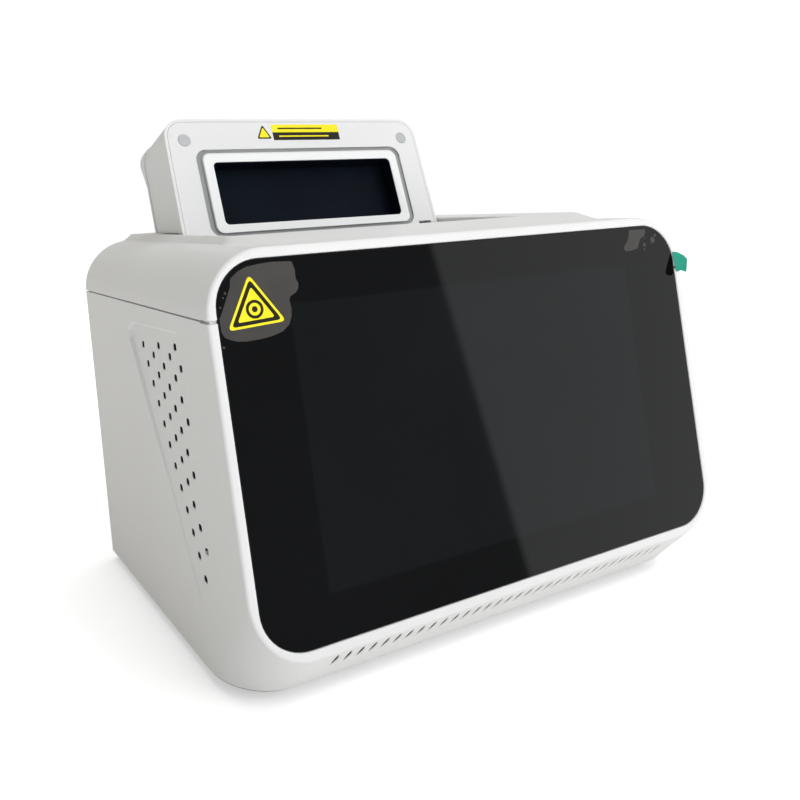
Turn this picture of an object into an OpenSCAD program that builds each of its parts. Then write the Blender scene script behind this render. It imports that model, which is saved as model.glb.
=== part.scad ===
// Bench-top thermal cycler: screen-fronted case, sample block under an opening heated lid.
// Units are millimetres. +X to the right of the user, +Y to the back, +Z up.
// Origin: centre of the footprint, on the surface that the feet stand on.
// The lid is drawn standing open, which is its resting pose.

/* [Case] */
// Width of the case
case_w = 304.3; // [300:0.1:310]
// Half of the case depth, from the lowest front edge to the back
half_d = 129.35; // [128:0.05:131]
// Height of the flat top of the case
case_top = 220; // [218:0.5:222]
// Height of the raised platform around the block
platform_top = 224.3; // [223:0.1:226]
// Height of the joint between top cover and lower case
seam_z = 188.95; // [185:0.05:192]
// Gap that shows between top cover and lower case
seam_gap = 0.8; // [0.4:0.1:1.2]
// Moulded wall thickness
wall = 3; // [2.6:0.1:3.4]
// Radius of the upper long edges
top_r = 31; // [28:0.5:33]
// Radius of the lower front corners, across the sloping chin
low_r = 29; // [26:0.5:31]

/* [Front panel] */
// Tilt of the screen from vertical, in degrees
tilt = 10.2; // [8:0.1:12]
// Cover glass width
glass_w = 293.3; // [288:0.1:294]
// Cover glass height
glass_h = 180; // [170:0.5:181]
// Cover glass corner radius
glass_r = 22.5; // [18:0.5:25]
// Cover glass thickness
glass_t = 2; // [1.5:0.1:2.5]

/* [Vents] */
// Number of louvre slots along the chin
slot_n = 32; // [20:1:32]
// Pitch of the louvre slots
slot_pitch = 7; // [6.5:0.1:7]
// Width across flats of a side vent hole
vent_w = 3.6; // [3:0.1:4]
// Depth of the side vent recess at its rear edge
recess_depth = 1.7; // [1:0.1:1.8]

/* [Block] */
// Wells along the block
wells_x = 12; // [8:1:12]
// Wells across the block
wells_y = 4; // [2:1:4]
// Well pitch
well_pitch = 9; // [9:0.5:9]
// Centre of the block and lid, left of the case centre
block_x = -23.6; // [-26:0.1:-20]

/* [Lid] */
// Lean of the open lid past vertical, in degrees
lean = 20.3; // [18:0.1:22]
// Lid half width at the hinge end
lid_hw0 = 90.6; // [88:0.1:91]
// Lid half width at the free end
lid_hw1 = 89.7; // [86:0.1:91]
// Distance from hinge axis to the free end
lid_len = 79; // [74:0.5:80]
// Outward lean of the lid's free end, in degrees
lid_draft = 5; // [4:0.5:10]
// Depth of the lid's flat back behind the hinge axis (mm)
lid_deep = 42.8; // [40:0.2:45]
// Height of the hinge axis
hinge_z = 217; // [216:0.5:218]
// Hinge axis position from the origin
hinge_y = 36; // [34:0.5:38]
// Hinge pin radius
pin_r = 3; // [2.5:0.25:3]

/* [Hidden] */
$fn = 64;

hw = case_w / 2;
zb = 5;                       // underside of the case
st = sin(tilt);
ct = cos(tilt);
py = -112.45;                 // centre of the screen plane
pz = 126.45;
chin_w = (-half_d + 32.65) / sqrt(2);   // chin plane: (y + z) / sqrt(2) = chin_w
block_y = hinge_y - 29.9;
floor_z = 209.5;              // floor of the lid recess
sl = sin(lean);
cl = cos(lean);
face_y = -4.9;                // lid face, in the lid's own frame
slot_x0 = -1 - (slot_n - 1) * slot_pitch / 2;
hinge_x = 81;                 // hinge brackets stand this far to each side of the lid's centre

// ---- helpers ----
module rr(w, h, r) {
  union() {
    square([w - 2 * r, h], center = true);
    square([w, h - 2 * r], center = true);
    for (i = [-1, 1], j = [-1, 1]) translate([i * (w / 2 - r), j * (h / 2 - r)]) circle(r);
  }
}
module rbox(w, d, h, r) { linear_extrude(height = h) rr(w, d, r); }
// local X right, Y up the screen, Z out of the screen; origin at the screen centre
module on_panel(n = 0) { translate([0, py, pz]) rotate([90 - tilt, 0, 0]) translate([0, 0, -n]) children(); }
// lid frame: Z towards the free end, Y through the thickness, origin on the hinge axis
module on_lid() { translate([0, hinge_y, hinge_z]) rotate([-lean, 0, 0]) children(); }
// rear face: local Y up, Z out of the back; X mirrored so that it still points right
module on_back(y) { translate([0, y, 0]) rotate([90, 0, 0]) mirror([0, 0, 1]) children(); }

// side profile points of the case, inset by t, with its underside at height b
function v_top(t, z) = (z - pz + t * st) / ct;
function v_low(t) = (sqrt(2) * (chin_w + t) - (py + pz) - t * (ct - st)) / (st + ct);
function on_p(v, t) = [py + v * st + t * ct, pz + v * ct - t * st];
function prof(t, b) = [
  on_p(v_low(t), t), on_p(v_top(t, case_top - t), t),
  [half_d - t, case_top - t], [half_d - t, b],
  [sqrt(2) * (chin_w + t) - b, b]];

module upper2d(t) {
  union() {
    translate([-hw + t, -60]) square([2 * (hw - t), case_top - top_r + 60]);
    translate([-hw + top_r, -60]) square([2 * (hw - top_r), case_top - t + 60]);
    for (i = [-1, 1]) translate([i * (hw - top_r), case_top - top_r]) circle(top_r - t);
  }
}
module lower2d(t) {
  union() {
    translate([-hw + t, -500]) square([2 * (hw - t), 500 - chin_w - low_r]);
    translate([-hw + low_r, -500]) square([2 * (hw - low_r), 500 - chin_w - t]);
    for (i = [-1, 1]) translate([i * (hw - low_r), -chin_w - low_r]) circle(low_r - t);
  }
}
// the closed outer form of the case, inset by t
module form(t = 0, b = 5) {
  intersection() {
    rotate([90, 0, 90]) linear_extrude(height = 2 * (hw - t), center = true) polygon(prof(t, b));
    translate([0, 200, 0]) rotate([90, 0, 0]) linear_extrude(height = 400) upper2d(t);
    rotate([-135, 0, 0]) translate([0, 0, -400]) linear_extrude(height = 800) lower2d(t);
  }
}
module platform() {
  hull() {
    translate([0, 0, 219.3]) linear_extrude(height = 0.1)
      polygon([[-97, -95.4], [97, -95.4], [126.5, -52.4], [126.5, half_d], [-124.5, half_d], [-124.5, -60]]);
    translate([0, 0, platform_top - 0.1]) linear_extrude(height = 0.1)
      polygon([[-112, -55.4], [112, -55.4], [119, -48], [119, 126], [-119.2, 126], [-119.2, -48]]);
  }
}
module recess_cut(g = 0, z0 = 209.5, z1 = 240) {
  translate([(-116.3 + 69.9) / 2, (-52.45 + 45) / 2, z0]) rbox(186.2 + 2 * g, 97.45 + 2 * g, z1 - z0, 6 + g);
}
module glass_cut(g, n0, n1) { on_panel(n1) translate([0, -0.2, 0]) rbox(glass_w + 2 * g, glass_h + 2 * g, n1 - n0, glass_r + g); }

// ---- case ----
module top_cover() {
  color("gainsboro") difference() {
    union() {
      difference() {
        union() {
          intersection() { form(0); translate([-200, -200, seam_z + seam_gap / 2]) cube([400, 400, 60]); }
          platform();
        }
        form(wall, 0);
        translate([-106, 52, 200]) cube([212, 72, 21.5]);
      }
      recess_cut(3, 206.5, 218.5);
      // screw bosses that tie the cover to the lower case
      for (i = [-1, 1], y = [-60, 110]) translate([i * (hw - 9), y, seam_z + seam_gap / 2]) cylinder(r = 4, h = 14);
      for (i = [-1, 1], y = [-60, 110]) translate([i * (hw - 9) + (i > 0 ? 0 : -7), y - 1.2, seam_z + seam_gap / 2]) cube([7, 2.4, 12]);
      // lip that drops inside the lower case
      intersection() {
        difference() {
          form(wall + 0.3, 0);
          form(wall + 1.7, -1);
          for (i = [-1, 1], y = [-60, 110]) translate([i * hw - 15, y - 5, 100]) cube([30, 10, seam_z + seam_gap / 2 - 100]);
        }
        translate([-200, -85, seam_z - 3]) cube([400, 400, 6]);
      }
      intersection() {
        difference() { form(wall - 0.5, 0); form(wall + 1.7, -1); }
        translate([-200, -85, seam_z + 0.9]) cube([400, 400, 2.5]);
      }
    }
    recess_cut(0, floor_z, 240);
    translate([block_x, block_y, 190]) rbox(126, 50, 30, 4);
    glass_cut(0.35, -3, 12);
    for (i = [-1, 1], y = [-60, 110]) translate([i * (hw - 9), y, seam_z - 1]) cylinder(r = 1.3, h = 11);
    // seats for the closing magnets in the recess floor
    for (i = [-77.9, 77.9]) translate([block_x + i, hinge_y - 65.2, floor_z - 1.2]) cylinder(r = 4.1, h = 5);
    // screw holes for the hinge brackets
    for (i = [-1, 1], dx = [-7, 7]) translate([block_x + i * hinge_x + dx, hinge_y, 200]) cylinder(r = 1.7, h = 20);
  }
}
module chin_slots() {
  // a louvre slot is cut square through the chin wall
  for (i = [0:slot_n - 1])
    translate([slot_x0 + i * slot_pitch, -half_d, 32.65]) rotate([-45, 0, 0])
      translate([-1.15, 4.5, -8]) cube([2.3, 13, 16]);
}
module side_vents() {
  // vent holes stand on slanting rows, [row start y, z, count]
  rows = [[8.35, 166.55, 12], [-10.95, 163.05, 10], [-21.85, 169.35, 7], [-40.95, 166.05, 4], [-51.05, 172.15, 2]];
  for (r = rows, k = [0:r[2] - 1])
    translate([-hw - 4, r[0] - 7.05 * k, r[1] - 9.9 * k]) rotate([0, 90, 0]) rotate([0, 0, 22.5])
      cylinder(r = vent_w / 2 / cos(22.5), h = 9, $fn = 8);
}
module side_recess() {
  // a flat-bottomed wedge, deepest at its rear edge, which runs out at its front edge
  translate([-hw, -67, 0]) rotate([0, 0, -atan(recess_depth / 92)]) translate([-12, 67, 0])
    rotate([90, 0, 90]) linear_extrude(height = 12)
      polygon([[-56, 179], [21.5, 176.95], [26.5, 175.6], [29.2, 172.6], [29.4, 168.3], [7.15, 136.55], [-28.85, 88.75],
               [-58.5, 44.5], [-61.5, 42.3], [-64.5, 43], [-68, 125.15], [-64, 149.35]]);
}
module lower_case() {
  color("whitesmoke") difference() {
    union() {
      difference() {
        intersection() { form(0); translate([-200, -200, zb + 1.4]) cube([400, 400, seam_z - seam_gap / 2 - zb - 1.4]); }
        form(wall, 0);
      }
      // screw posts to the base plate and to the top cover
      for (i = [-1, 1], y = [-60, 110], z = [[zb + 1.4, 26], [173.6, seam_z - seam_gap / 2]]) intersection() {
        union() {
          translate([i * (hw - 9), y, z[0]]) cylinder(r = 4, h = z[1] - z[0]);
          translate([i * (hw - 9) + (i > 0 ? 0 : -8), y - 1.2, z[0]]) cube([8, 2.4, z[1] - z[0]]);
        }
        form(1, 0);
      }
    }
    for (i = [-1, 1], y = [-60, 110]) translate([i * (hw - 9), y, 0]) {
      cylinder(r = 1.4, h = 22);
      translate([0, 0, 173]) cylinder(r = 1.7, h = 40);
    }
    glass_cut(0.35, -3, 12);
    chin_slots();
    for (m = [0, 1]) mirror([m, 0, 0]) { side_vents(); side_recess(); }
    // rear opening, closed by the rear panel
    translate([0, half_d - 10, 106]) rotate([-90, 0, 0]) rbox(236, 150, 20, 6);
  }
}
module base_plate() {
  color("dimgray") difference() {
    intersection() { form(0.9); translate([-200, -200, zb]) cube([400, 400, 1.4]); }
    for (i = [-1, 1], y = [-60, 110]) translate([i * (hw - 9), y, 0]) cylinder(r = 1.7, h = 20);
    for (i = [-1, 1], y = [-75, 100]) translate([i * 120, y, 0]) cylinder(r = 1.7, h = 20);
    for (i = [-6:6]) translate([i * 14 - 1.5, -40, 0]) cube([3, 60, 20]);
  }
}
module rubber_feet() {
  color("dimgray") for (i = [-1, 1], y = [-75, 100]) translate([i * 120, y, 0]) difference() {
    union() { cylinder(r1 = 8, r2 = 9, h = 2); translate([0, 0, 2]) cylinder(r = 9, h = 3); translate([0, 0, 5]) cylinder(r = 1.65, h = 1.4); translate([0, 0, 6.4]) cylinder(r = 3, h = 1); }
    translate([0, 0, -1]) cylinder(r = 3, h = 2.5);
  }
}
module base_screws() {
  color("silver") for (i = [-1, 1], y = [-60, 110]) translate([i * (hw - 9), y, 0]) {
    difference() {
      union() { translate([0, 0, 3.4]) cylinder(r = 3, h = 1.6); translate([0, 0, 5]) cylinder(r = 1.3, h = 14); }
      translate([0, 0, 3]) cylinder(r = 1.2, h = 1.2, $fn = 6);
    }
  }
}

// ---- rear ----
rp_y = half_d - wall - 1.5;   // outer face of the rear panel sheet is rp_y + 1.5
module rear_panel() {
  color("silver") on_back(rp_y) difference() {
    translate([0, 106, 0]) rbox(248, 158, 1.5, 4);
    translate([-24, 128, -1]) cylinder(r = 43, h = 5);
    for (i = [-1, 1], j = [-1, 1]) translate([-24 + i * 41.25, 128 + j * 41.25, -1]) cylinder(r = 2.2, h = 5);
    translate([86, 58, -1]) translate([-14, -10.25, 0]) cube([28, 20.5, 5]);
    translate([86, 92, -1]) translate([-11.1, -6.6, 0]) cube([22.2, 13.2, 5]);
    translate([-92, 50, -1]) translate([-7.1, -3.6, 0]) cube([14.2, 7.2, 5]);
    translate([-66, 50, -1]) translate([-8.1, -6.9, 0]) cube([16.2, 13.8, 5]);
    for (i = [-1, 1]) translate([86 + i * 20, 58, -1]) cylinder(r = 1.7, h = 5);
    for (i = [-1, 1], j = [-1, 1]) translate([i * 113, 106 + j * 70, -1]) cylinder(r = 1.6, h = 5);
    for (i = [0:9]) translate([62 + i * 5, 150, -1]) translate([-1.2, -14, 0]) cube([2.4, 28, 5]);
  }
}
module rear_screws() {
  color("silver") for (i = [-1, 1], j = [-1, 1]) translate([i * 113, rp_y, 106 + j * 70]) rotate([-90, 0, 0]) difference() {
    union() { translate([0, 0, -6]) cylinder(r = 1.5, h = 7.5); translate([0, 0, 1.5]) cylinder(r = 2.8, h = 1.6); }
    translate([0, 0, 2.2]) cylinder(r = 1.1, h = 2, $fn = 6);
  }
}
module power_inlet() {
  color("#222222") on_back(rp_y) translate([86, 58, 0]) difference() {
    union() {
      translate([0, 0, 1.5]) intersection() { rbox(50, 26, 1.8, 8); translate([0, 0, -1]) cube([60, 24, 10], center = true); }
      translate([-13.9, -10.15, -20]) cube([27.8, 20.3, 21.5]);
    }
    translate([0, 0, -15]) linear_extrude(height = 30) polygon([[-12.1, -8.2], [12.1, -8.2], [12.1, 4], [8, 8.2], [-8, 8.2], [-12.1, 4]]);
    for (i = [-1, 1]) translate([i * 20, 0, 0]) cylinder(r = 1.7, h = 6);
  }
  color("silver") on_back(rp_y) translate([86, 58, 0]) for (p = [[-7, -2], [0, 2], [7, -2]]) translate([p[0] - 1, p[1] - 2, -15.5]) cube([2, 4, 13]);
}
module switch_frame() {
  color("#222222") on_back(rp_y) translate([86, 92, 0]) difference() {
    union() { translate([0, 0, 1.5]) rbox(26, 17, 1.6, 2); translate([-11, -6.5, -14]) cube([22, 13, 15.6]); }
    translate([-9.2, -5.2, -7.5]) cube([18.4, 10.4, 20]);
    translate([0, 0, -2.2]) rotate([90, 0, 0]) cylinder(r = 1.55, h = 13.2, center = true);
  }
}
// the rocker turns about a vertical-in-plane pin across its middle
module power_rocker() {
  color("#1a1a1a") on_back(rp_y) translate([86, 92, -2.2]) union() {
    intersection() {
      rotate([0, 8, 0]) difference() {
        translate([-8.6, -4.9, -2.6]) cube([17.2, 9.8, 8.2]);
        translate([0, 0, 17.6]) rotate([90, 0, 0]) cylinder(r = 14.2, h = 20, center = true);
      }
      rotate([90, 0, 0]) cylinder(r = 9.0, h = 9.8, center = true);
    }
    rotate([90, 0, 0]) cylinder(r = 1.5, h = 12.6, center = true);
  }
}
module usb_port() {
  color("silver") on_back(rp_y) translate([-92, 50, 0]) difference() {
    translate([-7, -3.5, -14]) cube([14, 7, 15.5]);
    translate([-6.3, -2.8, -10]) cube([12.6, 5.6, 20]);
  }
  color("#2a2a2a") on_back(rp_y) translate([-92, 50, 0]) translate([-5.6, 0.6, -10.5]) cube([11.2, 1.8, 9.5]);
}
module lan_port() {
  color("silver") on_back(rp_y) translate([-66, 50, 0]) difference() {
    translate([-8, -6.8, -16]) cube([16, 13.6, 17.5]);
    translate([-5.9, -4.2, -10]) cube([11.8, 8.4, 20]);
    translate([-3, -5.6, -10]) cube([6, 3, 20]);
  }
}
module fan_frame() {
  color("#2a2a2a") on_back(rp_y) translate([-24, 128, -25]) difference() {
    rbox(92, 92, 25, 5);
    translate([0, 0, -1]) cylinder(r = 43.2, h = 27);
    for (i = [-1, 1], j = [-1, 1]) translate([i * 41.25, j * 41.25, -1]) cylinder(r = 2.15, h = 27);
  }
  color("#2a2a2a") on_back(rp_y) translate([-24, 128, -25]) union() {
    difference() { cylinder(r = 17, h = 4); translate([0, 0, -1]) cylinder(r = 2.08, h = 10); }
    for (a = [45:90:359]) rotate([0, 0, a]) translate([16.5, -2, 0]) cube([28, 4, 3]);
  }
}
module fan_rotor() {
  color("#303030") on_back(rp_y) translate([-24, 128, -25]) union() {
    translate([0, 0, 4.6]) cylinder(r = 16.5, h = 17);
    translate([0, 0, 1]) cylinder(r = 2, h = 4);
    for (a = [0:360 / 7:359]) rotate([0, 0, a]) translate([15.5, 0, 13]) rotate([38, 0, 0]) translate([0, -11, -0.8]) cube([25, 22, 1.6]);
  }
}
module fan_guard() {
  color("silver") on_back(rp_y) translate([-24, 128, 2.4]) union() {
    for (r = [10:8:42]) rotate_extrude() translate([r, 0]) circle(0.8, $fn = 16);
    for (a = [0:90:359]) rotate([0, 0, a + 45]) translate([8, -1, -0.9]) cube([47.2, 2, 1.4]);
    for (i = [-1, 1], j = [-1, 1]) translate([i * 41.25, j * 41.25, -0.9]) difference() {
      cylinder(r = 3.6, h = 1.2);
      translate([0, 0, -1]) cylinder(r = 1.9, h = 4);
    }
  }
}
module guard_screws() {
  color("silver") on_back(rp_y) translate([-24, 128, 2.4]) for (i = [-1, 1], j = [-1, 1]) translate([i * 41.25, j * 41.25, 0]) difference() {
    union() {
      translate([0, 0, -12]) cylinder(r = 1.8, h = 12.4);
      translate([0, 0, 0.3]) cylinder(r = 3, h = 1.4);
    }
    translate([0, 0, 0.9]) cylinder(r = 1.1, h = 2, $fn = 6);
  }
}

// ---- screen ----
module touch_glass() { color("#101215") glass_cut(0, 0.15, 0.15 + glass_t); }
module glass_gasket() {
  color("black") difference() { glass_cut(-0.6, 0.15 + glass_t, 0.95 + glass_t); on_panel(6) translate([-3.06, 0, 0]) rbox(256, 168, 12, 3); }
}
module display_module() {
  color("darkslategray") on_panel(8.15) translate([-3.06, 0, 0]) union() {
    translate([0, 0, 0]) rbox(230, 149, 6 - 0.02, 1.5);
    translate([0, 0, -1.2]) rbox(180, 40, 1.4, 1);
  }
}
module display_bracket() {
  color("silver") difference() {
    union() {
      glass_cut(-0.6, 0.95 + glass_t, 2.95 + glass_t);
    }
    on_panel(20) translate([-3.06, 0, 0]) rbox(234, 153, 30, 3);
    for (i = [-1, 1], j = [-1, 1]) on_panel(20) translate([i * 128, j * 78, 0]) cylinder(r = 1.7, h = 30);
  }
  // ears that hold the panel stack against the moulded rim
  color("silver") for (i = [-1, 1], j = [-1, 0, 1]) intersection() {
    on_panel(2.95 + glass_t + 8) translate([i * 142 - 4, j * 60 - 9, 0]) cube([8, 18, 8]);
    form(wall + 0.2, 0);
  }
}
module display_screws() {
  color("silver") for (i = [-1, 1], j = [-1, 1]) on_panel(2.95 + glass_t + 2.2) translate([i * 128, j * 78, 0]) {
    union() { cylinder(r = 2.9, h = 2.2); cylinder(r = 1.6, h = 4.2); }
  }
}
module control_board() {
  color("darkgreen") on_panel(24) translate([-3.06, 0, 0]) union() {
    rbox(190, 120, 1.6, 2);
    translate([-40, 10, -3]) rbox(36, 36, 3.2, 1);
    translate([20, -20, -2]) rbox(24, 24, 2.2, 1);
    translate([60, 30, -8]) rbox(30, 14, 8.2, 1);
    translate([-70, -40, -10]) rbox(26, 18, 10.2, 1);
    for (i = [-1, 1], j = [-1, 1]) translate([i * 88, j * 54, 1.4]) cylinder(r = 3, h = 14.4);
  }
}

// ---- cooling and power ----
module sample_block() {
  color("silver") difference() {
    translate([block_x, block_y, 196]) rbox(118, 46, 14.2, 3);
    for (i = [0:wells_x - 1], j = [0:wells_y - 1])
      translate([block_x + (i - (wells_x - 1) / 2) * well_pitch, block_y + (j - (wells_y - 1) / 2) * well_pitch, 198]) cylinder(r1 = 1.6, r2 = 3.05, h = 13);
  }
}
module block_gasket() {
  color("#333333") translate([block_x, block_y, 205.5]) difference() {
    union() { rbox(125.4, 49.4, 4, 3.7); rbox(131, 55, 0.9, 5); }
    translate([0, 0, -1]) rbox(118.4, 46.4, 8, 3.2);
  }
}
module peltier_modules() {
  color("white") for (i = [-1:1]) translate([block_x + i * 39.5 - 19.25, block_y - 20, 192.2]) union() {
    cube([38.5, 40, 1]);
    translate([1, 1, 0.9]) cube([36.5, 38, 1.9]);
    translate([0, 0, 2.7]) cube([38.5, 40, 1.05]);
  }
}
module heat_sink() {
  color("silver") union() {
    translate([block_x - 70, block_y - 40, 184.2]) cube([140, 110, 8]);
    for (i = [0:17]) translate([block_x - 67 + i * 7.8, block_y - 40, 124]) cube([1.6, 110, 60.3]);
  }
}
module heat_sink_bracket() {
  color("gainsboro") for (i = [-1, 1]) translate([block_x + i * 70.1, 0, 0]) {
    s = i > 0 ? 0 : -1.5;
    translate([s, block_y - 38, 6.4]) cube([1.5, 106, 186]);
    translate([i > 0 ? 0 : -16, block_y - 38, 6.4]) cube([16, 106, 1.5]);
  }
}
module air_duct() {
  color("#444444") difference() {
    translate([-24 - 54, block_y + 70.5, 80]) cube([108, rp_y - 25.3 - block_y - 70.5, 94.5]);
    translate([-24 - 52, block_y + 70, 82]) cube([104, 60, 90.5]);
  }
}
module power_supply() {
  color("silver") difference() {
    translate([64, -34, 6.4]) cube([76, 128, 38]);
    for (i = [0:9], j = [0:4]) translate([72 + j * 15, -20 + i * 11, 42]) cylinder(r = 2.4, h = 5, $fn = 6);
  }
}
module driver_board() {
  color("darkgreen") translate([-146.5, -20, 12]) union() {
    translate([0, 0, 4]) cube([35, 110, 1.6]);
    for (p = [[4, 4], [31, 4], [4, 106], [31, 106]]) translate([p[0], p[1], -5.6]) cylinder(r = 2.5, h = 10);
    translate([6, 14, 5.5]) cube([24, 30, 12]);
    translate([13, 60, 5.5]) cylinder(r = 8, h = 22);
    translate([13, 82, 5.5]) cylinder(r = 8, h = 22);
  }
}

// ---- hinge ----
module hinge_brackets() {
  color("silver") for (i = [-1, 1]) translate([block_x + i * hinge_x, hinge_y, 0]) difference() {
    union() {
      translate([-10, -6, floor_z]) cube([20, 12, 1.4]);
      for (k = [-1, 1]) translate([k * 3.3 - 1.2, 0, 0]) {
        translate([0, -4.2, floor_z]) cube([2.4, 8.4, 7.5]);
        translate([0, 0, hinge_z]) rotate([0, 90, 0]) cylinder(r = 4.2, h = 2.4);
      }
    }
    translate([-20, 0, hinge_z]) rotate([0, 90, 0]) cylinder(r = pin_r + 0.05, h = 40);
    for (dx = [-7, 7]) translate([dx, 0, floor_z - 1]) cylinder(r = 1.7, h = 5);
  }
}
module hinge_pin() {
  color("silver") for (i = [-1, 1]) translate([block_x + i * hinge_x - 4.8, hinge_y, hinge_z]) rotate([0, 90, 0]) cylinder(r = pin_r, h = 9.6);
}
module recess_magnets() {
  color("silver") for (i = [-77.9, 77.9]) translate([block_x + i, hinge_y - 65.2, floor_z - 1.2]) cylinder(r = 4, h = 1.4);
}
module cover_screws() {
  // four long screws that pull the top cover down onto the lower case
  color("silver") for (i = [-1, 1], y = [-60, 110]) translate([i * (hw - 9), y, 0]) union() {
    translate([0, 0, 170.5]) cylinder(r = 2.8, h = 3);
    translate([0, 0, 173.4]) cylinder(r = 1.25, h = 24);
  }
}

// ---- lid, drawn in its own frame ----
base_k = (224.8 - hinge_z) / cl;        // base plane: z = base_k + y * tan(lean)
toe_y = 3;                              // the lid's front part reaches down into the recess
toe_z = 0.5;
function base_at(y, g = 0) = base_k + y * tan(lean) + g;
module lid_tilt() { translate([0, face_y, lid_len]) rotate([lid_draft, 0, 0]) children(); }
// tapered outline with rounded free-end corners; the end face leans out towards the back
module lid_outline(g = 0) {
  r = 12 - g;
  lid_tilt() translate([0, 90, 0]) rotate([90, 0, 0]) linear_extrude(height = 120)
    difference() {
      polygon([[-lid_hw0 + g, -110], [lid_hw0 - g, -110], [lid_hw0 - g, -71], [lid_hw1 - g, -g], [-lid_hw1 + g, -g], [-lid_hw0 + g, -71]]);
      for (i = [-1, 1]) translate([i * (lid_hw1 - g), -g]) difference() {
        square([2 * r, 2 * r], center = true);
        translate([-i * (r + 0.02), -r]) circle(r);
        translate([i > 0 ? -2 * r : r, -2 * r]) square([r, 4 * r]);
        translate([-2 * r, -2 * r]) square([4 * r, r]);
      }
    }
}
module lid_profile(y0, y1, g) {
  // side profile between two depths
  ty = toe_y - g;
  rotate([90, 0, 90]) linear_extrude(height = 200, center = true)
    polygon(y0 < ty && y1 > ty
      ? [[y0, toe_z + g], [y0, 110], [y1, 110], [y1, base_at(y1, g)], [ty, base_at(ty, g)], [ty, toe_z + g]]
      : y0 < ty
      ? [[y0, toe_z + g], [y0, 110], [y1, 110], [y1, toe_z + g]]
      : [[y0, base_at(y0, g)], [y0, 110], [y1, 110], [y1, base_at(y1, g)]]);
}
// everything in front of the lid's back: flat low down, bulging out under the rounded top edge
bulge_z = 55;
bulge_a = 20;
module lid_back(g) {
  td = tan(lid_draft);
  tb = tan(bulge_a);
  ll = lid_len + 0.8;
  ky = (lid_deep + (ll - face_y * td - bulge_z) * tb) / (1 - td * tb);
  k0 = [ky, ll + (ky - face_y) * td];
  dn = [-sin(bulge_a), -cos(bulge_a)];
  fw = [-cos(lid_draft), -sin(lid_draft)];
  h = acos(dn * fw) / 2;
  bi = (dn + fw) / norm(dn + fw);
  r = 9.5 - g;
  k = k0 + bi * (g / sin(h));
  c = k + bi * (r / sin(h));
  t1 = k + dn * (r / tan(h));
  t2 = k + fw * (r / tan(h));
  translate([block_x, 0, 0]) rotate([90, 0, 90]) linear_extrude(height = 200, center = true) union() {
    polygon([t2, t2 + fw * 100, [-110, -90], [lid_deep - g, -90], [lid_deep - g, bulge_z + g * tan(bulge_a / 2)], t1]);
    translate(c) circle(r);
  }
}
// everything under the leaning base plane, raised by g, from depth y0 rearwards
module under_lid(y0, g) {
  translate([block_x, 0, 0]) rotate([90, 0, 90]) linear_extrude(height = 150, center = true)
    polygon([[y0, -20], [y0, base_at(y0, g)], [40, base_at(40, g)], [40, -20]]);
}
module lid_form(y0, y1, g = 0) {
  translate([block_x, 0, 0]) intersection() { lid_outline(g); lid_profile(y0, y1, g); }
}
lid_screw_z = [33, 50];
module lid_shell() {
  color("gainsboro") on_lid() difference() {
    union() {
      difference() {
        lid_form(face_y, 41, 0);
        lid_form(face_y + 3, 42, 2.4);
        // seat for the face plate
        lid_form(face_y - 1, face_y + 3.1, 1.8);
      }
      // screw bosses on short webs from the side walls
      for (i = [-1, 1], z = lid_screw_z) translate([block_x + i * 80, 41, z]) rotate([90, 0, 0]) cylinder(r = 3.8, h = 18);
      for (i = [-1, 1], z = lid_screw_z) translate([block_x + i * 80 + (i > 0 ? 0 : -8.4), 23, z - 1]) cube([8.4, 18, 2]);
    }
    for (i = [-1, 1], z = lid_screw_z) translate([block_x + i * 80, 41.5, z]) rotate([90, 0, 0]) cylinder(r = 1.55, h = 15.4);
    // room for the window collar and the plate behind it
    translate([block_x - 67, face_y + 3, 5]) cube([134, 22.9, 22]);
    // slots that the hinge ears and arms pass through
    translate([block_x, 0, 0]) for (i = [-1, 1]) translate([i * hinge_x - 4.9, -7, -8]) cube([9.8, 12.5, 12.5]);
    translate([block_x, 0, 0]) for (i = [-1, 1]) translate([i * hinge_x - 2, -1.8, -8]) cube([4, 8, 24]);
  }
}
module lid_rear_cover() {
  color("gainsboro") on_lid() difference() {
    intersection() {
      translate([block_x, 0, 0]) intersection() { lid_outline(-0.8); lid_profile(41.2, 70, 0); }
      lid_back(0);
    }
    intersection() { lid_form(40, 71, 2.2); lid_back(2.2); }
    for (i = [-1, 1], z = lid_screw_z) translate([block_x + i * 80, 50, z]) rotate([90, 0, 0]) cylinder(r = 1.7, h = 12);
  }
}
module lid_face_plate() {
  color("whitesmoke") on_lid() difference() {
    lid_form(face_y, face_y + 3, 2.0);
    // groove around the window frame, then the window itself
    translate([block_x + 0.2, face_y + 1.2, 31]) rotate([90, 0, 0]) difference() { rbox(146, 56, 3, 7); translate([0, 0, -1]) rbox(138.6, 51, 6, 5); }
    translate([block_x + 0.2, 20, 30]) rotate([90, 0, 0]) rbox(132.4, 46.4, 40, 3);
    for (i = [-1, 1]) translate([block_x + i * 77.9, face_y + 1, 65.2]) rotate([90, 0, 0]) cylinder(r = 3.9, h = 3);
    for (i = [-1, 1]) translate([block_x + i * hinge_x - 4.9, -20, -8]) cube([9.8, 40, 12.5]);
  }
}
module plate_liner() {
  // black trim ring inside the window, in front of the plate
  color("#15171a") on_lid() translate([block_x + 0.2, 0, 30]) rotate([90, 0, 0]) difference() {
    translate([0, 0, -4.9]) rbox(126.3, 40.3, 10.5, 2.95);
    translate([0, 0, -10]) rbox(124.9, 38.9, 30, 2.3);
  }
}
module window_frame() {
  color("white") on_lid() difference() {
    translate([block_x + 0.2, 0, 30]) rotate([90, 0, 0]) difference() {
      union() {
        translate([0, 0, -8]) rbox(132, 46, 12.9 + 0.9, 3);
        translate([0, 0, 4.9]) rbox(138, 50.4, 0.9, 4.5);
      }
      translate([0, 0, -20]) rbox(126.4, 40.4, 40, 3);
    }
    under_lid(2.6, 0.5);
  }
}
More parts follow.
